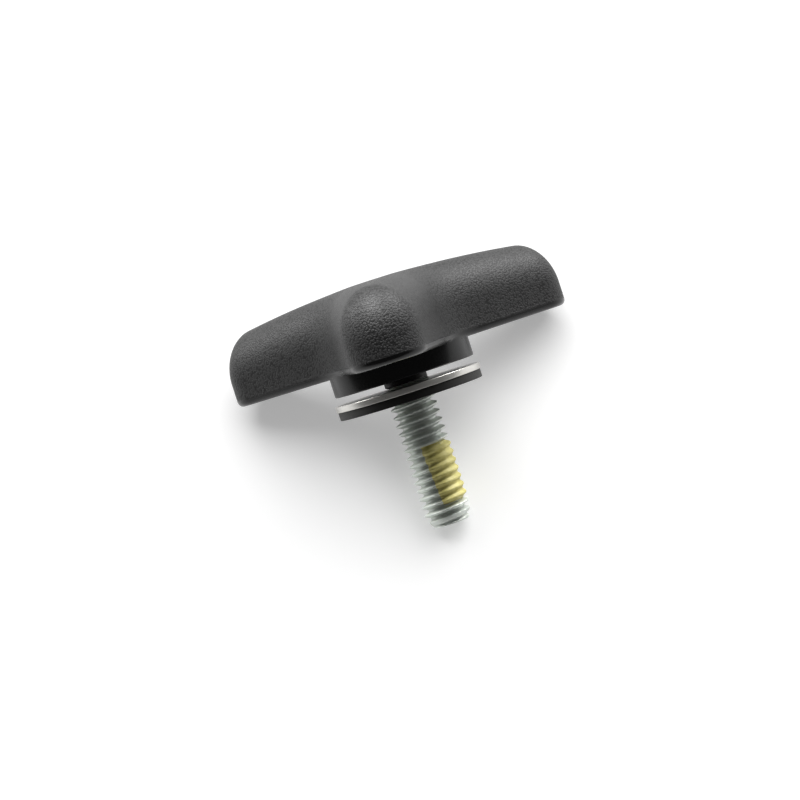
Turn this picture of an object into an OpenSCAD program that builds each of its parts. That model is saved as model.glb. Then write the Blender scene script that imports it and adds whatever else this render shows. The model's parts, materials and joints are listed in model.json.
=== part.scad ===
// Three-lobed clamping knob: a moulded body with a boss, a threaded stud held in
// it, a steel and rubber sealing washer on the stud, and a locking patch.
//
// Every piece is drawn about the stud's axis: z = 0 is the sealing face of the
// rubber, the stud points down -Z, and one lobe points along -Y. lie_down() then
// turns the knob about X until the stud's tip and the other two lobes rest on
// one level floor, which is how the loose knob comes to rest.

/* [Lobed body] */
// Distance from the stud's axis to the end of a lobe
lobe_reach = 33.2; // [30:0.1:40]
// Radius of a lobe's rounded end, seen from above
lobe_end_r = 6.2; // [5:0.1:8]
// Angle by which each side of a lobe flares towards the centre
lobe_flare = 8.5; // [5:0.5:14]
// Radius of the hollow between two lobes, seen from above
valley_r = 16; // [12:0.5:20]
// Height of the body on its axis, without the boss
body_h = 13.6; // [12:0.1:18]
// Radius of the gently crowned top
crown_r = 280; // [150:5:600]
// Distance that the rounding of the top edge reaches in from the side
top_round_run = 6; // [3:0.1:8]
// Height that the rounding of the top edge takes from the side
top_round_drop = 7.6; // [3:0.1:8.5]
// Radius of the small rounding at the bottom edge
edge_r = 1; // [0.5:0.1:1.5]

/* [Boss] */
// Diameter of the round boss under the body
boss_d = 24; // [18:0.1:25]
// Height of the boss
boss_h = 3.2; // [2:0.1:8]
// Chamfer at the boss's lower edge
boss_edge = 0.25; // [0.1:0.05:0.6]

/* [Stud] */
// Outer diameter of the thread, over its crests
stud_d = 7.85; // [7:0.05:8]
// Length of the stud from the boss to its tip
stud_l = 25.4; // [20:0.1:50]
// Diameter of the plain neck between the boss and the thread
neck_d = 7.35; // [6:0.05:7.4]
// Diameter of the flat end at the tip
tip_d = 6.1; // [5:0.1:6.8]
// Length of the chamfer at the tip
tip_l = 2; // [1.6:0.1:3]
// Width across the flats of the head that anchors the stud in the body
head_af = 12.7; // [10:0.1:14]
// Height of that head
head_h = 5.3; // [3:0.1:6]
// Depth of the head's underside in the plastic, from the boss's lower face
head_depth = 5; // [4:0.1:7]

/* [Thread] */
// Distance from one crest to the next
thread_pitch = 1.41; // [1.2:0.01:1.6]
// Depth of the grooves between the crests
thread_depth = 0.8; // [0.4:0.05:0.85]
// Width of the flat on a crest
crest_w = 0.2; // [0.15:0.05:0.3]
// Width of the flat at the bottom of a groove
root_w = 0.2; // [0.1:0.05:0.3]

/* [Sealing washer] */
// Gap between the boss and the steel washer
washer_gap = 1.4; // [0.5:0.1:3]
// Outer diameter of the steel washer
washer_d = 25; // [18:0.1:30]
// Thickness of the steel washer
washer_t = 1; // [0.6:0.1:2]
// Room around the thread in the steel washer's hole
washer_clear = 0.2; // [0.1:0.05:1]
// Distance that the rubber's rim is set in from the steel's
rubber_inset = 0.2; // [0:0.05:1]
// Thickness of the rubber
rubber_t = 1.4; // [0.8:0.1:3]

/* [Locking patch] */
// Length of the patch along the stud
patch_l = 10.2; // [5:0.1:11]
// Distance from the stud's tip to the patch
patch_end = 3.4; // [3.1:0.1:5]
// Width of the patch around the stud, in degrees
patch_arc = 130; // [60:5:160]
// Direction that the middle of the patch faces, in degrees
patch_at = -35; // [-60:5:60]

/* [Hidden] */
$fn = 96;

LOBES = 3;
LOBE_STEP = 360 / LOBES;
FRONT_LOBE_AT = -90;
// Width left flat along the top of a lobe's end, which limits the top rounding
RIDGE_W = 0.4;

// Steps along one lobe's outline, up the two roundings and across the crown
END_STEPS = 18;
SIDE_STEPS = 4;
VALLEY_STEPS = 12;
EDGE_STEPS = 4;
ROUND_STEPS = 10;
CROWN_STEPS = 4;

// Levels along the stud's axis
rubber_top = rubber_t;
washer_top = rubber_top + washer_t;
boss_z = washer_top + washer_gap;
body_z = boss_z + boss_h;
crown_z = body_z + body_h;
head_z = boss_z + head_depth;
tip_z = boss_z - stud_l;
thread_end_z = tip_z + tip_l;
patch_z = tip_z + patch_end;

// The thread is drawn as rings, one crest and one groove to each pitch
crest_r = stud_d / 2;
root_r = crest_r - thread_depth;
flank_w = (thread_pitch - crest_w - root_w) / 2;
thread_turns = floor(-tip_z / thread_pitch);

// Outline of one lobe about +X: its end's centre, the direction that its side
// faces, and the hollow beside it with the directions where its arc runs out
end_x = lobe_reach - lobe_end_r;
side_at = 90 - lobe_flare;
valley_at = LOBE_STEP / 2;
valley_from = side_at + 180;
valley_to = LOBE_STEP + 180 - side_at;
valley_c = (end_x * sin(lobe_flare) + lobe_end_r + valley_r) / sin(valley_at + lobe_flare);
top_run = min(top_round_run, lobe_end_r - RIDGE_W / 2);

// Slope of the stud at rest: the floor touches the edge rounding of the two
// lower lobes, and the first of the tip's two corners that it meets.
rest_y = end_x * cos(valley_at) + lobe_end_r - edge_r;
rest_z = body_z + edge_r;
function slope_on(r, z) = atan2(rest_y - r, rest_z - z) + asin(edge_r / norm([rest_y - r, rest_z - z]));
stud_slope = min(slope_on(tip_d / 2, tip_z), slope_on(crest_r, thread_end_z));

function polar(r, a) = [r * cos(a), r * sin(a)];
function turned(p, a) = [p.x * cos(a) - p.y * sin(a), p.x * sin(a) + p.y * cos(a)];
function between(a, b, t) = a + (b - a) * t;
function crown(p) = crown_z - crown_r + sqrt(crown_r ^ 2 - p * p);

// One third of the outline, moved inwards by inset: end, side, hollow, side
function end_point(inset, a) = [end_x, 0] + polar(lobe_end_r - inset, a);
function valley_point(inset, a) = polar(valley_c, valley_at) + polar(valley_r + inset, a);
function third(inset) =
    let (
        end_out = end_point(inset, side_at),
        valley_in = valley_point(inset, valley_from),
        valley_out = valley_point(inset, valley_to),
        next_end = turned(end_point(inset, -side_at), LOBE_STEP)
    )
    [
        for (i = [0:END_STEPS]) end_point(inset, between(-side_at, side_at, i / END_STEPS)),
        for (i = [1:SIDE_STEPS - 1]) between(end_out, valley_in, i / SIDE_STEPS),
        for (i = [0:VALLEY_STEPS]) valley_point(inset, between(valley_from, valley_to, i / VALLEY_STEPS)),
        for (i = [1:SIDE_STEPS - 1]) between(valley_out, next_end, i / SIDE_STEPS),
    ];
function outline(inset) =
    [for (k = [0:LOBES - 1]) for (p = third(inset)) turned(p, FRONT_LOBE_AT + k * LOBE_STEP)];

function level_ring(inset, z) = [for (p = outline(inset)) [p.x, p.y, z]];
function crown_ring(inset, drop) = [for (p = outline(inset)) [p.x, p.y, crown(p) - drop]];
function shrunk_ring(t) = [for (p = outline(top_run)) [p.x * t, p.y * t, crown(p * t)]];

// Rings from the bottom face, round the lower edge, up the side, over the top
// edge and in towards the middle of the crown
body_rings = [
    for (i = [0:EDGE_STEPS])
        let (a = 90 * i / EDGE_STEPS)
        level_ring(edge_r * (1 - sin(a)), body_z + edge_r * (1 - cos(a))),
    for (i = [0:ROUND_STEPS])
        let (a = 90 * i / ROUND_STEPS)
        crown_ring(top_run * (1 - cos(a)), top_round_drop * (1 - sin(a))),
    for (i = [1:CROWN_STEPS - 1]) shrunk_ring(1 - i / CROWN_STEPS),
];

// Skin over a stack of equal rings, closed by a point below and a point above
module lofted(bottom, rings, top) {
    n = len(rings[0]);
    last = (len(rings) - 1) * n;
    points = [for (ring = rings) each ring, bottom, top];
    low = len(points) - 2;
    high = len(points) - 1;
    faces = [
        for (i = [0:n - 1]) [(i + 1) % n, low, i],
        for (k = [0:n:last - n]) for (i = [0:n - 1])
            let (a = k + i, b = k + (i + 1) % n)
            each [[a, b + n, b], [a, a + n, b + n]],
        for (i = [0:n - 1]) [last + i, high, last + (i + 1) % n],
    ];
    polyhedron(points, faces);
}

// Turned disc with a square edge, and a chamfer on its lower edge if asked for
module disc(d, z, h, chamfer = 0) {
    rotate_extrude()
        polygon([
            [0, z],
            [d / 2 - chamfer, z],
            [d / 2, z + chamfer],
            [d / 2, z + h],
            [0, z + h],
        ]);
}

module washer(d, hole_d, z, h) {
    difference() {
        translate([0, 0, z]) cylinder(d = d, h = h);
        translate([0, 0, z - 1]) cylinder(d = hole_d, h = h + 2);
    }
}

// Crests and grooves from the sealing face down to the stud's tip
module thread() {
    rotate_extrude()
        polygon([
            [0, 0],
            for (k = [0:thread_turns - 1])
                let (z = -k * thread_pitch)
                each [
                    [crest_r, z],
                    [crest_r, z - crest_w],
                    [root_r, z - crest_w - flank_w],
                    [root_r, z - crest_w - flank_w - root_w],
                ],
            [root_r, tip_z],
            [0, tip_z],
        ]);
}

// The patch fills the grooves on one side of the thread, level with its crests
module patch() {
    rotate([0, 0, patch_at - patch_arc / 2])
        rotate_extrude(angle = patch_arc)
        translate([root_r, patch_z])
        square([thread_depth, patch_l]);
}

// The part of the stud that the plastic is moulded around
module anchor() {
    translate([0, 0, head_z]) cylinder(d = head_af / cos(30), h = head_h, $fn = 6);
    translate([0, 0, boss_z]) cylinder(d = neck_d, h = head_depth);
}

module lie_down() {
    rotate([stud_slope - 90, 0, 0]) children();
}

module knob_body() {
    color("#37353a")
        lie_down()
        difference() {
            union() {
                lofted([0, 0, body_z], body_rings, [0, 0, crown_z]);
                disc(boss_d, boss_z, boss_h + edge_r, boss_edge);
            }
            anchor();
        }
}

module threaded_stud() {
    color("#a9aca6")
        lie_down() {
            anchor();
            cylinder(d = neck_d, h = boss_z);
            difference() {
                intersection() {
                    thread();
                    union() {
                        translate([0, 0, thread_end_z]) cylinder(d = stud_d, h = -thread_end_z);
                        translate([0, 0, tip_z]) cylinder(d1 = tip_d, d2 = stud_d, h = tip_l);
                    }
                }
                patch();
            }
        }
}

module steel_washer() {
    color("#c8c9c6") lie_down() washer(washer_d, stud_d + 2 * washer_clear, rubber_top, washer_t);
}

module rubber_seal() {
    color("#2a282b") lie_down() washer(washer_d - 2 * rubber_inset, stud_d, 0, rubber_t);
}

module locking_patch() {
    color("#b9af5f") lie_down() patch();
}

knob_body();
threaded_stud();
steel_washer();
rubber_seal();
locking_patch();
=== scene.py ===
# %% [markdown]
# # A lobed clamping knob
# The knob has five pieces: a moulded plastic body, a threaded stud, a steel
# washer, a rubber seal bonded under it, and a nylon patch in the thread. The
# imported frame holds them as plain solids. This script models each one again,
# finer, at the same place and size, and gives it its finish.
# The first lines load that frame and keep its box for a last comparison.

# %% Load the frame
import json
import math

import bmesh
import bpy
import numpy as np
from mathutils import Matrix, Vector


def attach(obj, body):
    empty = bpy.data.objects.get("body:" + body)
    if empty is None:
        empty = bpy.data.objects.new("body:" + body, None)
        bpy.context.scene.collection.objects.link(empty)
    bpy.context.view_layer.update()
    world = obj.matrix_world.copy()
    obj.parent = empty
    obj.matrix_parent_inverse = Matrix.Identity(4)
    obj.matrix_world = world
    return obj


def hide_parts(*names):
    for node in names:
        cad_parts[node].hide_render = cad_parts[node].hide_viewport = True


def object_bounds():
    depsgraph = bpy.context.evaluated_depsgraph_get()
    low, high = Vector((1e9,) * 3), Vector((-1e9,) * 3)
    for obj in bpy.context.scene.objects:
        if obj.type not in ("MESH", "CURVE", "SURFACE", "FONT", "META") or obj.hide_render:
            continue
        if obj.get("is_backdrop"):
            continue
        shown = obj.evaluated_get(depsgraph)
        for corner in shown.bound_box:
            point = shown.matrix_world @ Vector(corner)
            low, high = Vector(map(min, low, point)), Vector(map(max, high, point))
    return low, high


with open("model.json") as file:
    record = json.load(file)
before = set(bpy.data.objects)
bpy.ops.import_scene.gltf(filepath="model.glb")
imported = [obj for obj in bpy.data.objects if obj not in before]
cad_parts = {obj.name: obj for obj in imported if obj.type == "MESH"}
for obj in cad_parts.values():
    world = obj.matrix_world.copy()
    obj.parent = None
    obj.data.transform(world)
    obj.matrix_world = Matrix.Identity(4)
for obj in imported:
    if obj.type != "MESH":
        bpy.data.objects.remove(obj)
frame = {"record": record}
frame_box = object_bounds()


def in_mm(points):
    return [[round(c * 1000, 2) for c in point] for point in points]


print("frame box, mm:", in_mm(frame_box))

# %% [markdown]
# ## The knob's own axes
# The loose knob lies on its stud's tip and two of its lobes, so nothing in it is
# level. It is far easier to model standing upright, with the stud along Z, and
# to lay the finished mesh down once. The stud's mount in the record says where
# its axis points, and from that one matrix turns millimetres in the knob's own
# axes into metres in the frame. Z = 0 is the sealing face under the rubber.

# %% From the knob's axes to the frame
mount = next(m for m in frame["record"]["mounts"] if m["name"] == "stud")
STUD_R = mount["dims"]["r_mm"]
TO_TIP = Vector(mount["axis"]).normalized()
SLOPE = math.asin(-TO_TIP.z)
TURN = Matrix.Rotation(SLOPE - math.pi / 2, 4, "X")
LAY_DOWN = TURN @ Matrix.Scale(0.001, 4)
print("the stud slopes", round(math.degrees(SLOPE), 2), "degrees")


# %% [markdown]
# ## One way to make a skin
# Every piece here can be described by rings of points, from one end to the
# other: a turned washer has round rings, the body has lobed ones, the thread
# has rings whose radius follows the helix. Modifiers could bend and round
# plainer shapes, but rings put each point where a formula wants it. One
# function sews a stack of rings into a mesh. A stack is closed either by a
# point at each end, or by joining the last ring to the first, which suits a
# ring with a hole. Points that coincide are merged, and edges sharper than a
# limit stay sharp.

# %% Sewing rings into a mesh
MERGE = 1e-6
THINNEST = 1e-7
SHARP = math.radians(38)


def sew(name, rings, ends=None):
    rings = np.asarray(rings, float)
    count, around = rings.shape[:2]
    points = rings.reshape(-1, 3)
    here = np.arange(count * around).reshape(count, around)
    if ends is None:
        here = np.vstack([here, here[:1]])
    beside = np.roll(here, -1, axis=1)
    quads = np.stack([here[:-1], beside[:-1], beside[1:], here[1:]], -1).reshape(-1, 4)
    faces = quads.tolist()
    if ends is not None:
        first, last = len(points), len(points) + 1
        points = np.vstack([points, ends])
        faces += [[b, a, first] for a, b in zip(here[0].tolist(), beside[0].tolist())]
        faces += [[a, b, last] for a, b in zip(here[-1].tolist(), beside[-1].tolist())]
    mesh = bpy.data.meshes.new(name)
    mesh.from_pydata(points.tolist(), [], faces)
    mesh.transform(LAY_DOWN)
    return clean_piece(name, mesh)


def clean_piece(name, mesh):
    work = bmesh.new()
    work.from_mesh(mesh)
    bmesh.ops.remove_doubles(work, verts=work.verts, dist=MERGE)
    bmesh.ops.dissolve_degenerate(work, edges=work.edges, dist=THINNEST)
    bmesh.ops.recalc_face_normals(work, faces=work.faces)
    work.to_mesh(mesh)
    work.free()
    mesh.shade_smooth()
    mesh.set_sharp_from_angle(angle=SHARP)
    piece = bpy.data.objects.new(name, mesh)
    bpy.context.scene.collection.objects.link(piece)
    print(name, "has", len(mesh.polygons), "faces")
    return piece


# %% [markdown]
# Three small helpers serve all the pieces: the directions round the axis, a
# flat outline lifted to a height, and the arc that both the lobes' ends and
# the hollows between them are made of.

# %% Directions, heights and arcs
def directions(count):
    angle = np.linspace(0, 2 * math.pi, count, endpoint=False)
    return angle, np.stack([np.cos(angle), np.sin(angle)], -1)


def at_height(points, height):
    return np.column_stack([points, np.broadcast_to(height, len(points))])


def arc(centre, radius, start, stop, steps):
    angle = np.linspace(start, stop, steps + 1)
    return np.stack([centre[0] + radius * np.cos(angle), centre[1] + radius * np.sin(angle)], -1)


# %% [markdown]
# ## The moulded body
# From above, the body is three lobes: round ends, sides that flare towards the
# middle, and a hollow between each two. Moving such an outline inwards keeps
# its arcs about the same centres, the ends' radius shrinking and the hollows'
# growing. So each ring is the same outline at its own inset and height: round
# the small lower edge, up the side, over the deep rounding of the top, and in
# across the gentle crown. A bevel on an extruded outline could round the top
# too, but the crown and the rounding would then need fitting to each other.

# %% Sizes of the knob, in millimetres
LOBE_REACH, LOBE_END_R, LOBE_FLARE, VALLEY_R = 33.2, 6.2, math.radians(8.5), 16.0
BODY_H, CROWN_R = 13.6, 280.0
TOP_RUN, TOP_DROP, EDGE_R = 6.0, 7.6, 1.0
BOSS_R, BOSS_H, BOSS_EDGE = 12.0, 3.2, 0.25
WASHER_R, WASHER_T, WASHER_GAP = 12.5, 1.0, 1.4
RUBBER_R, RUBBER_T = 12.3, 1.4
NECK_R, STUD_L = 3.675, 25.4

WASHER_TOP = RUBBER_T + WASHER_T
BOSS_Z = WASHER_TOP + WASHER_GAP
BODY_Z = BOSS_Z + BOSS_H
CROWN_Z = BODY_Z + BODY_H
TIP_Z = BOSS_Z - STUD_L
levels = {"tip": TIP_Z, "boss": BOSS_Z, "body": BODY_Z, "crown": CROWN_Z}
print("heights over the sealing face, mm:", {name: round(z, 2) for name, z in levels.items()})

# %% The lobed outline
LOBES = 3
STEP = 2 * math.pi / LOBES
FRONT_LOBE_AT = -math.pi / 2
END_X = LOBE_REACH - LOBE_END_R
SIDE_AT = math.pi / 2 - LOBE_FLARE
VALLEY_AT = STEP / 2
VALLEY_C = (END_X * math.sin(LOBE_FLARE) + LOBE_END_R + VALLEY_R) / math.sin(VALLEY_AT + LOBE_FLARE)
END_STEPS, SIDE_STEPS, VALLEY_STEPS = 44, 16, 34


def turned(points, angle):
    c, s = math.cos(angle), math.sin(angle)
    return points @ np.array([[c, s], [-s, c]])


def outline(inset):
    end = arc((END_X, 0), LOBE_END_R - inset, -SIDE_AT, SIDE_AT, END_STEPS)
    middle = (VALLEY_C * math.cos(VALLEY_AT), VALLEY_C * math.sin(VALLEY_AT))
    valley = arc(middle, VALLEY_R + inset, SIDE_AT + math.pi, STEP + math.pi - SIDE_AT, VALLEY_STEPS)
    share = np.linspace(0, 1, SIDE_STEPS + 1)[1:-1, None]
    side_in = end[-1] + (valley[0] - end[-1]) * share
    side_out = valley[-1] + (turned(end[:1], STEP) - valley[-1]) * share
    third = np.vstack([end, side_in, valley, side_out])
    return np.vstack([turned(third, FRONT_LOBE_AT + k * STEP) for k in range(LOBES)])


def crown(points):
    return CROWN_Z - CROWN_R + np.sqrt(CROWN_R**2 - (points**2).sum(-1))


print("one ring of the body has", len(outline(0)), "points")

# %% [markdown]
# The boss under the body is as wide as the hollows are deep, so the two meet
# along the hollows. Pushing every ring out to at least the boss's radius makes
# that join by itself. The thin line just over the lower edge is where the two
# halves of the mould met: the plastic stands a few hundredths proud there.

# %% Boss, lower edge and parting line
PARTING_PROUD, PARTING_HALF = 0.03, 0.1
# How far each ring of the line stands out, and its height, both as shares
PARTING_BEAD = ((0.6, 0.5), (1, 1), (0.6, 1.5), (0, 2))
NECK_SOCKET, BOSS_STEPS, EDGE_STEPS = 1.0, 3, 8
bottom = outline(EDGE_R)
bottom_way = bottom / np.linalg.norm(bottom, axis=-1, keepdims=True)


def boss_ring(radius, height):
    return at_height(bottom_way * radius, height)


def outside_boss(points):
    radius = np.linalg.norm(points, axis=-1, keepdims=True)
    return points * np.maximum(1, BOSS_R / radius)


def boss_rings():
    yield boss_ring(NECK_R, BOSS_Z + NECK_SOCKET)
    yield boss_ring(NECK_R, BOSS_Z)
    for angle in np.linspace(0, math.pi / 2, BOSS_STEPS + 1):
        radius = BOSS_R - BOSS_EDGE * (1 - math.sin(angle))
        yield boss_ring(radius, BOSS_Z + BOSS_EDGE * (1 - math.cos(angle)))
    yield boss_ring(BOSS_R, BODY_Z)


def edge_rings():
    for angle in np.linspace(0, math.pi / 2, EDGE_STEPS + 1):
        ring = outline(EDGE_R * (1 - math.sin(angle)))
        yield at_height(outside_boss(ring), BODY_Z + EDGE_R * (1 - math.cos(angle)))
    for proud, lift in PARTING_BEAD:
        yield at_height(outline(-PARTING_PROUD * proud), BODY_Z + EDGE_R + PARTING_HALF * lift)


print("boss, lower edge and parting line take", len([*boss_rings(), *edge_rings()]), "rings")

# %% [markdown]
# Above the parting line the side goes straight up, and from there the rings
# draw in: over the top rounding by a quarter of an ellipse, then towards the
# middle of the crown, where one point closes the skin.

# %% Side, top rounding and crown
SIDE_RINGS, ROUND_STEPS, CROWN_RINGS = 8, 28, 14


def top_rings():
    side = outline(0)
    low = BODY_Z + EDGE_R + 2 * PARTING_HALF
    high = crown(side) - TOP_DROP
    for share in np.linspace(0, 1, SIDE_RINGS + 1)[1:-1]:
        yield at_height(side, low + (high - low) * share)
    for angle in np.linspace(0, math.pi / 2, ROUND_STEPS + 1):
        ring = outline(TOP_RUN * (1 - math.cos(angle)))
        yield at_height(ring, crown(ring) - TOP_DROP * (1 - math.sin(angle)))
    for share in np.linspace(1, 0, CROWN_RINGS + 1)[1:-1]:
        ring = outline(TOP_RUN) * share
        yield at_height(ring, crown(ring))


body_rings = [*boss_rings(), *edge_rings(), *top_rings()]
body = sew("lobed_moulding", body_rings, [(0, 0, BOSS_Z + NECK_SOCKET), (0, 0, CROWN_Z)])

# %% [markdown]
# ## The thread
# A screw thread is a groove wound round the stud, one turn for each pitch. A
# profile could be swept along a helix, but its ends would need mending. On a
# fine grid of rings the radius needs only a formula: the distance from the
# nearest crest, counted along the axis with a share of the pitch for the angle
# round it. A narrow flat crest, a straight flank and a small rounded root give
# the profile of a rolled thread. It winds to the right, as most screws do.

# %% The radius of the thread
PITCH, THREAD_DEPTH = 25.4 / 18, 0.92
CREST_SHARE, ROOT_SHARE, FLANK_EASE = 0.14, 0.2, 0.05
CREST_AT = math.radians(88)


def thread_radius(angle, height):
    turns = height / PITCH - (angle - CREST_AT) / (2 * math.pi)
    from_crest = 2 * np.abs(turns - np.round(turns))
    down = np.clip((from_crest - CREST_SHARE) / (1 - CREST_SHARE - ROOT_SHARE), 0, 1)
    return STUD_R - THREAD_DEPTH * (down - FLANK_EASE * np.sin(2 * math.pi * down))


print("the thread has", round(-TIP_Z / PITCH, 1), "turns below the sealing face")

# %% [markdown]
# The stud is more than its thread. A hexagonal head anchors it in the plastic,
# and a plain neck leads down through the boss. The thread runs out into that
# neck just above the washer, so its rings are blended with the neck's over a
# short run. At the other end a cone cuts the last turns down to the tip.

# %% The threaded stud
TIP_R, TIP_L, TIP_EDGE = 3.05, 2.0, 0.25
HEAD_AF, HEAD_H, HEAD_DEPTH = 12.7, 5.3, 5.0
HEAD_Z = BOSS_Z + HEAD_DEPTH
NECK_Z, RUN_OUT = WASHER_TOP + 0.5, 0.4
AROUND, THREAD_RINGS = 160, 430


def stud_radius(angle, height):
    cone = TIP_R + (STUD_R - TIP_R) * np.clip((height - TIP_Z) / TIP_L, 0, 1)
    threaded = np.minimum(thread_radius(angle, height), cone)
    below_neck = np.clip((NECK_Z - height) / RUN_OUT, 0, 1)
    return threaded * below_neck + NECK_R * (1 - below_neck)


def hexagon_radius(angle):
    flat = math.pi / 3
    return HEAD_AF / 2 / np.cos((angle % flat) - flat / 2)


def stud_rings():
    angle, way = directions(AROUND)
    hexagon = way * hexagon_radius(angle)[:, None]
    yield at_height(hexagon, HEAD_Z + HEAD_H)
    yield at_height(hexagon, HEAD_Z)
    yield at_height(way * NECK_R, HEAD_Z)
    for height in np.linspace(NECK_Z, TIP_Z, THREAD_RINGS):
        yield at_height(way * stud_radius(angle, height)[:, None], height)
    yield at_height(way * (TIP_R - TIP_EDGE), TIP_Z)


stud = sew("threaded_stud_visual", list(stud_rings()), [(0, 0, HEAD_Z + HEAD_H), (0, 0, TIP_Z)])

# %% [markdown]
# ## The sealing washer
# Two turned rings, bonded face to face. A turned piece needs only its profile,
# as corners at a radius and a height. Real edges are never dead sharp, so each
# corner is cut by a small arc, which catches the light along the rim: the
# steel's edges were tumbled after stamping, the rubber's came so from its
# mould.

# %% Steel and rubber
WASHER_CLEAR = 0.2
STEEL_EDGE, RUBBER_EDGE, EDGE_ARC_STEPS = 0.09, 0.1, 4
WASHER_AROUND = 192


def rounded(corners, radius):
    """The closed outline of some square corners, each replaced by a small arc."""
    corners = np.asarray(corners, float)
    path = []
    for before, corner, after in zip(np.roll(corners, 1, 0), corners, np.roll(corners, -1, 0)):
        into = (before - corner) / np.linalg.norm(before - corner)
        out = (after - corner) / np.linalg.norm(after - corner)
        start, end = corner + into * radius, corner + out * radius
        centre = start + out * radius
        for angle in np.linspace(0, math.pi / 2, EDGE_ARC_STEPS + 1):
            path.append(centre + (start - centre) * math.cos(angle) + (end - centre) * math.sin(angle))
    return path


def washer(name, inner, outer, low, high, edge):
    profile = rounded([(inner, low), (outer, low), (outer, high), (inner, high)], edge)
    way = directions(WASHER_AROUND)[1]
    return sew(name, [at_height(way * radius, height) for radius, height in profile])


steel = washer("steel_washer_visual", STUD_R + WASHER_CLEAR, WASHER_R, RUBBER_T, WASHER_TOP, STEEL_EDGE)
rubber = washer("rubber_seal_visual", STUD_R, RUBBER_R, 0, RUBBER_T, RUBBER_EDGE)

# %% [markdown]
# ## The locking patch
# Nylon powder is melted into one side of the thread, so that the screw grips
# its nut. It fills the grooves part of the way, rounds over the crests, and
# thins out at its edges. Painting it on the thread would miss that thickness,
# so the patch is a shell: its outer skin follows a softened thread, and its
# inner skin hides under the steel. Its sides lean a little round the stud.

# %% Place and thickness of the patch
PATCH_L, PATCH_END, PATCH_ARC, PATCH_AT = 10.2, 3.4, math.radians(130), math.radians(-35)
PATCH_LEAN = math.radians(14)
PATCH_COLUMNS, PATCH_ROWS = 90, 170
PATCH_PROUD, PATCH_RELIEF, PATCH_TAPER = 0.08, 0.42, 12
SUNK_EDGE, SUNK_INSIDE = 0.05, 0.1


def patch_outside(across, along, angle, height):
    """Full thickness inside, thinning out over a twelfth of the patch to each edge."""
    across_edge = np.clip((0.5 - np.abs(across)) * PATCH_TAPER, 0, 1)
    along_edge = np.clip((0.5 - np.abs(along)) * PATCH_TAPER, 0, 1)
    steel_r = thread_radius(angle, height)
    edge_r = steel_r - SUNK_EDGE
    full_r = STUD_R + PATCH_PROUD - PATCH_RELIEF * (STUD_R - steel_r)
    return edge_r + (full_r - edge_r) * np.sqrt(across_edge * along_edge)


crest_r, groove_r = patch_outside(0, 0, CREST_AT, np.array([0, -PITCH / 2]))
print("nylon over a crest", round(crest_r, 2), "mm from the axis, over a groove", round(groove_r, 2))

# %% The nylon patch
across, along = np.meshgrid(np.linspace(-0.5, 0.5, PATCH_COLUMNS), np.linspace(-0.5, 0.5, PATCH_ROWS))
patch_angle = PATCH_AT + across * PATCH_ARC - along * PATCH_LEAN
patch_height = TIP_Z + PATCH_END + (along + 0.5) * PATCH_L


def patch_skin(radius):
    return np.stack([radius * np.cos(patch_angle), radius * np.sin(patch_angle), patch_height], -1)


outer = patch_skin(patch_outside(across, along, patch_angle, patch_height))
inner = patch_skin(STUD_R - THREAD_DEPTH - SUNK_INSIDE)
loops = [np.vstack([row_out, row_in[::-1]]) for row_out, row_in in zip(outer, inner)]
patch = sew("nylon_patch_visual", loops, [loops[0].mean(0), loops[-1].mean(0)])

# %% [markdown]
# ## Writing shader maths as sums
# A shader is a graph of nodes, but its maths reads best as ordinary Python.
# The small class below wraps a socket, so that 1 - mask or depth * 2 adds the
# Math node itself. All other nodes come from one method that takes the node's
# type, its settings and what feeds its sockets.

# %% A wrapped socket
class Wire:
    def __init__(self, graph, socket):
        self.graph, self.socket = graph, socket

    def maths(self, operation, *values):
        return self.graph.node("Math", {"operation": operation}, dict(enumerate(values)))

    def __add__(self, other):
        return self.maths("ADD", self, other)

    def __sub__(self, other):
        return self.maths("SUBTRACT", self, other)

    def __rsub__(self, other):
        return self.maths("SUBTRACT", other, self)

    def __mul__(self, other):
        return self.maths("MULTIPLY", self, other)

    __radd__, __rmul__ = __add__, __mul__

    def between(self, low, high):
        """0 below low, 1 above high, and a smooth step from one to the other."""
        limits = {"Value": self, "From Min": low, "From Max": high}
        return self.graph.node("MapRange", {"interpolation_type": "SMOOTHSTEP"}, limits)


# %% A graph of nodes
class Graph:
    """The nodes of a material or of the world, before the shader they end in."""

    def __init__(self, owner, shader, **constants):
        owner.use_nodes = True
        self.tree = owner.node_tree
        self.shader = self.tree.nodes[shader]
        for name, value in constants.items():
            self.shader.inputs[name.replace("_", " ")].default_value = value

    def node(self, kind, settings, inputs, output=0):
        made = self.tree.nodes.new("ShaderNode" + kind)
        for name, value in settings.items():
            setattr(made, name, value)
        for key, value in inputs.items():
            if isinstance(value, Wire):
                self.tree.links.new(value.socket, made.inputs[key])
            else:
                made.inputs[key].default_value = value
        return Wire(self, made.outputs[output])

    def feed(self, socket, wire):
        self.tree.links.new(wire.socket, self.shader.inputs[socket])


# %% [markdown]
# A finish is such a graph with the few things that each of these materials
# needs: the place on the piece, the height along the stud, noise and bumps
# whose sizes are given in millimetres, and a mix of two colours. It also
# dresses its piece: the piece rides on the frame's body and takes the place of
# its plain solid.

# %% A finish
def grey(value):
    return (value, value, value, 1)


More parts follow.
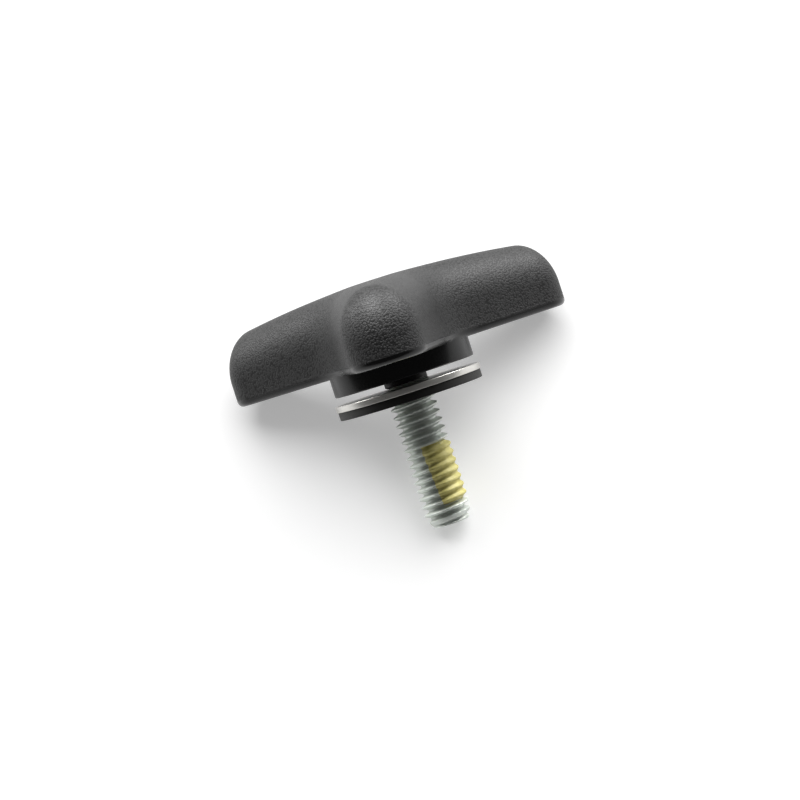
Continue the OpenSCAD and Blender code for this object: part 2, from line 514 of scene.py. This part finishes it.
class Finish(Graph):
    def __init__(self, name, **constants):
        self.material = bpy.data.materials.new(name)
        super().__init__(self.material, "Principled BSDF", **constants)
        self.place = self.node("TexCoord", {}, {}, output="Object")

    def height(self):
        """Height along the stud's axis over the sealing face, in millimetres."""
        up = tuple(-c * 1000 for c in TO_TIP)
        return self.node("VectorMath", {"operation": "DOT_PRODUCT"}, {0: self.place, 1: up}, output="Value")

    def noise(self, size, detail=2, output=0):
        """Soft noise whose lumps are about size millimetres wide."""
        inputs = {"Vector": self.place, "Scale": 1000 / size, "Detail": detail}
        return self.node("TexNoise", {}, inputs, output)

    def mix(self, mask, first, second):
        """A colour: first where the mask is 0, second where it is 1."""
        return self.node("Mix", {"data_type": "RGBA"}, {0: mask, 6: first, 7: second}, output=2)

    def bump(self, height, depth):
        """Normals for a height from 0 to 1 that stands depth millimetres high."""
        self.feed("Normal", self.node("Bump", {}, {"Distance": depth / 1000, "Height": height}))

    def dress(self, piece, node, slot):
        piece.data.materials.append(self.material)
        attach(piece, "root")
        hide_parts(node)
        print(piece.name, "wears", self.material.name, "with", len(self.tree.nodes), "nodes")


# %% [markdown]
# ## Black plastic with a leather grain
# The mould was etched, so the body carries a fine grain of soft pebbles split
# by creases, a third of a millimetre apart. The creases are painted darker
# than the pebbles, as painted shade, and the smooth parts share that dark
# colour. Hands polish the pebbles, so a thin coat gives them more gloss than
# the creases. The boss and the small lower edge are smooth. Real geometry that
# fine would be millions of faces, so the grain is a bump: a Voronoi pattern
# gives the pebbles, bent by noise so that no cell looks regular, and the height
# along the stud says where it ends.

# %% The body's finish
GRAIN, GRAIN_BEND, GRAIN_DEPTH = 0.32, 0.2, 0.037
PEBBLE_RIM = (0.35, 0.75)
PEBBLE_COAT, SMOOTH_COAT = 0.12, 0.04
SMOOTH_ROUGHNESS, GRAIN_ROUGHNESS = 0.24, 0.28
CREASE_SHADE_AND_SMOOTH_COLOUR, PEBBLE_COLOUR = grey(0.0015), grey(0.009)
GRAIN_FROM = BODY_Z + EDGE_R - 0.1
GRAIN_FULL = BODY_Z + EDGE_R + 0.5

plastic = Finish("charcoal_plastic", Specular_IOR_Level=0.27, Coat_Roughness=0.45)
bend = plastic.noise(0.6, detail=1, output="Color")
bent_inputs = {0: bend, 1: (GRAIN_BEND / 1000,) * 3, 2: plastic.place}
bent = plastic.node("VectorMath", {"operation": "MULTIPLY_ADD"}, bent_inputs)
cells = plastic.node("TexVoronoi", {"feature": "F1"}, {"Vector": bent, "Scale": 1000 / GRAIN})
pebbles = 1 - cells.between(*PEBBLE_RIM)
fine = plastic.noise(0.14)
grained = plastic.height().between(GRAIN_FROM, GRAIN_FULL)
plastic.bump((pebbles + fine * 0.3) * grained, GRAIN_DEPTH)
plastic.feed("Coat Weight", pebbles * grained * PEBBLE_COAT + (1 - grained) * SMOOTH_COAT)
plastic.feed("Roughness", SMOOTH_ROUGHNESS + grained * (GRAIN_ROUGHNESS + fine * 0.06))
# Painted shade: the creases take a darker colour than the pebbles; the smooth boss and lower edge take it
# too.
plastic.feed("Base Color", plastic.mix(pebbles * grained, CREASE_SHADE_AND_SMOOTH_COLOUR, PEBBLE_COLOUR))
plastic.dress(body, "knob_body", "moulded_plastic")

# %% [markdown]
# ## Zinc plate and washer steel
# Zinc plate is a soft, bright metal with a faint green cast and an uneven
# gloss, so its roughness follows a slow noise and a very shallow bump breaks
# up its reflections. From just above the washer upwards, over the neck in the
# gap under the boss, the metal turns black and dull: painted shade.
# The washer's plate is smoother and shines more, its gloss a little uneven.

# %% The metal finishes
ZINC_COLOUR, ZINC_METAL = (0.66, 0.695, 0.65, 1), 0.65
NECK_SHADE_COLOUR = grey(0.007)

zinc = Finish("zinc_plate")
zinc.feed("Roughness", 0.35 + zinc.noise(1.2, detail=4) * 0.22)
zinc.bump(zinc.noise(0.12), 0.006)
# Painted shade: from just above the washer up through the boss, the metal turns black and not metallic.
neck_shade = zinc.height().between(NECK_Z - 0.2, NECK_Z)
zinc.feed("Metallic", ZINC_METAL * (1 - neck_shade))
zinc.feed("Base Color", zinc.mix(neck_shade, ZINC_COLOUR, NECK_SHADE_COLOUR))
zinc.dress(stud, "threaded_stud", "zinc_plate")

washer_steel = Finish("washer_steel", Base_Color=(0.58, 0.57, 0.54, 1), Metallic=0.8)
washer_steel.feed("Roughness", 0.24 + washer_steel.noise(0.8, detail=4) * 0.12)
washer_steel.dress(steel, "steel_washer", "washer_steel")

# %% [markdown]
# ## Rubber and nylon
# The rubber is black and dull, with the slightly coarse skin of its mould. The
# nylon is fused powder: waxy, pitted like orange peel, yellow where it lies
# thick and olive where it is thin. How thick it lies is a matter of chance, so
# a slow noise stands for it.

# %% Rubber and nylon
seal = Finish("seal_rubber", Base_Color=(0.008, 0.008, 0.007, 1), Roughness=0.5, Specular_IOR_Level=0.3)
seal.bump(seal.noise(0.18, detail=3), 0.02)
seal.dress(rubber, "rubber_seal", "seal_rubber")

OLIVE, YELLOW = (0.52, 0.47, 0.14, 1), (0.66, 0.6, 0.22, 1)
nylon = Finish("locking_nylon", Roughness=0.5)
thick = nylon.noise(1.4, detail=4).between(0.35, 0.65)
nylon.feed("Base Color", nylon.mix(thick, OLIVE, YELLOW))
nylon.bump(nylon.noise(0.25, detail=3), 0.04)
nylon.dress(patch, "locking_patch", "locking_nylon")

# %% [markdown]
# ## The floor
# The knob lies on a plain white sheet, large enough to fill the view. A sheet
# lit by lamps alone would be grey where the knob shades it and dull at its far
# side, so it also glows a little by itself, which keeps the shadow pale.

# %% A white sheet
FLOOR_HALF, SHEET_GLOW = 3.0, 0.36
floor_z = frame_box[0].z
floor_mesh = bpy.data.meshes.new("floor")
square = [(-1, -1), (1, -1), (1, 1), (-1, 1)]
floor_mesh.from_pydata([(x * FLOOR_HALF, y * FLOOR_HALF, floor_z) for x, y in square], [], [(0, 1, 2, 3)])
floor = bpy.data.objects.new("floor", floor_mesh)
bpy.context.scene.collection.objects.link(floor)
paper = Finish(
    "white_sheet",
    Base_Color=grey(0.8),
    Roughness=0.9,
    Emission_Color=grey(1),
    Emission_Strength=SHEET_GLOW,
)
floor.data.materials.append(paper.material)
floor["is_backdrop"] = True
print("the sheet is", 2 * FLOOR_HALF, "m wide, at z =", round(floor_z * 1000, 2), "mm")


# %% [markdown]
# ## The lamps
# Black plastic shows mostly what it mirrors, so its lamps are chosen for where
# their reflections fall: a large soft box beyond the knob and over it lights
# the crown, and two weaker ones stand at the sides. The sheet has a wider box
# of its own, for a soft shadow. Light linking keeps the two apart: each box
# lights only the pieces in its collection.

# %% Soft boxes, in metres and watts
def receivers(name, *pieces):
    group = bpy.data.collections.new(name)
    for piece in pieces:
        group.objects.link(piece)
    return group


def soft_box(name, at, width, height, watts, lit):
    lamp = bpy.data.lights.new(name, "AREA")
    lamp.shape, lamp.size, lamp.size_y, lamp.energy = "RECTANGLE", width, height, watts
    box = bpy.data.objects.new(name, lamp)
    box.location = at
    box.rotation_mode = "QUATERNION"
    box.rotation_quaternion = (-Vector(at)).to_track_quat("-Z", "Y")
    box.light_linking.receiver_collection = lit
    bpy.context.scene.collection.objects.link(box)
    print(name, "gives", watts, "W to", lit.name)


knob = receivers("lit_knob", body, stud, steel, rubber, patch)
sheet = receivers("lit_sheet", floor)
soft_box("top_box", (0, 0.65, 0.76), 0.6, 0.5, 36, knob)
soft_box("left_box", (-0.72, 0.65, 0.3), 0.4, 0.4, 8, knob)
soft_box("right_box", (0.72, 0.65, 0.3), 0.4, 0.4, 14, knob)
soft_box("sheet_box", (0.2, 0.35, 0.7), 1.4, 1.0, 12, sheet)

# %% [markdown]
# ## The room
# The room is dim, which keeps the faces towards the camera dark. A dim world
# would also show as a dark wall past the sheet's far edge, so what the camera
# sees of it directly is paler than the light that it gives. The colours are
# shown as they are, without a film curve, so the lit sheet comes out white.

# %% A dim room with a paler backdrop
ROOM_LIGHT, BACKDROP = 0.09, 0.4
world = bpy.data.worlds.new("dim_room")
room = Graph(world, "Background", Color=grey(1))
seen = room.node("LightPath", {}, {}, output="Is Camera Ray")
room.feed("Strength", ROOM_LIGHT + (BACKDROP - ROOM_LIGHT) * seen)
bpy.context.scene.world = world
bpy.context.scene.view_settings.view_transform = "Standard"
print("the room gives", ROOM_LIGHT, "and shows", BACKDROP)

# %% [markdown]
# ## The camera
# The camera looks down on the lying knob, straight at the lobe that stands up
# and square to the stud. It is set in the knob's own axes: turned a little
# about the stud, raised a little over the body's lower face, and rolled, so
# that the stud leans in the picture.

# %% Placing the camera
CAMERA_TURN, CAMERA_RISE, CAMERA_ROLL = map(math.radians, (3.2, 1.89, 17.8))
CAMERA_MM, AIM = 320.0, Vector((-1.9, 0, 0.35))
FOCAL_PX, FRAME_PX = 1932.0, 800.0

camera = bpy.data.cameras.new("camera")
camera.lens = FOCAL_PX / FRAME_PX * camera.sensor_width
away = Vector((0, math.cos(CAMERA_RISE), -math.sin(CAMERA_RISE)))
level = Vector((1, 0, 0))
rise = level.cross(away)
right = level * math.cos(CAMERA_ROLL) - rise * math.sin(CAMERA_ROLL)
up = level * math.sin(CAMERA_ROLL) + rise * math.cos(CAMERA_ROLL)
facing = Matrix((right, up, -away)).transposed().to_4x4()
to_frame = TURN @ Matrix.Rotation(CAMERA_TURN, 4, "Z")
eye_at = to_frame @ ((AIM - away * CAMERA_MM) * 0.001)
eye = bpy.data.objects.new("camera", camera)
eye.matrix_world = Matrix.Translation(eye_at) @ to_frame @ facing
bpy.context.scene.collection.objects.link(eye)
bpy.context.scene.camera = eye
print("the camera stands at, mm:", in_mm([eye_at]))

# %% [markdown]
# ## The two boxes
# The finer pieces must fill the same box as the plain solids, apart from the
# parting line, which stands a few hundredths of a millimetre proud.

# %% Both boxes, for comparison
visual_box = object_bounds()
print("visual box, mm:", in_mm(visual_box))
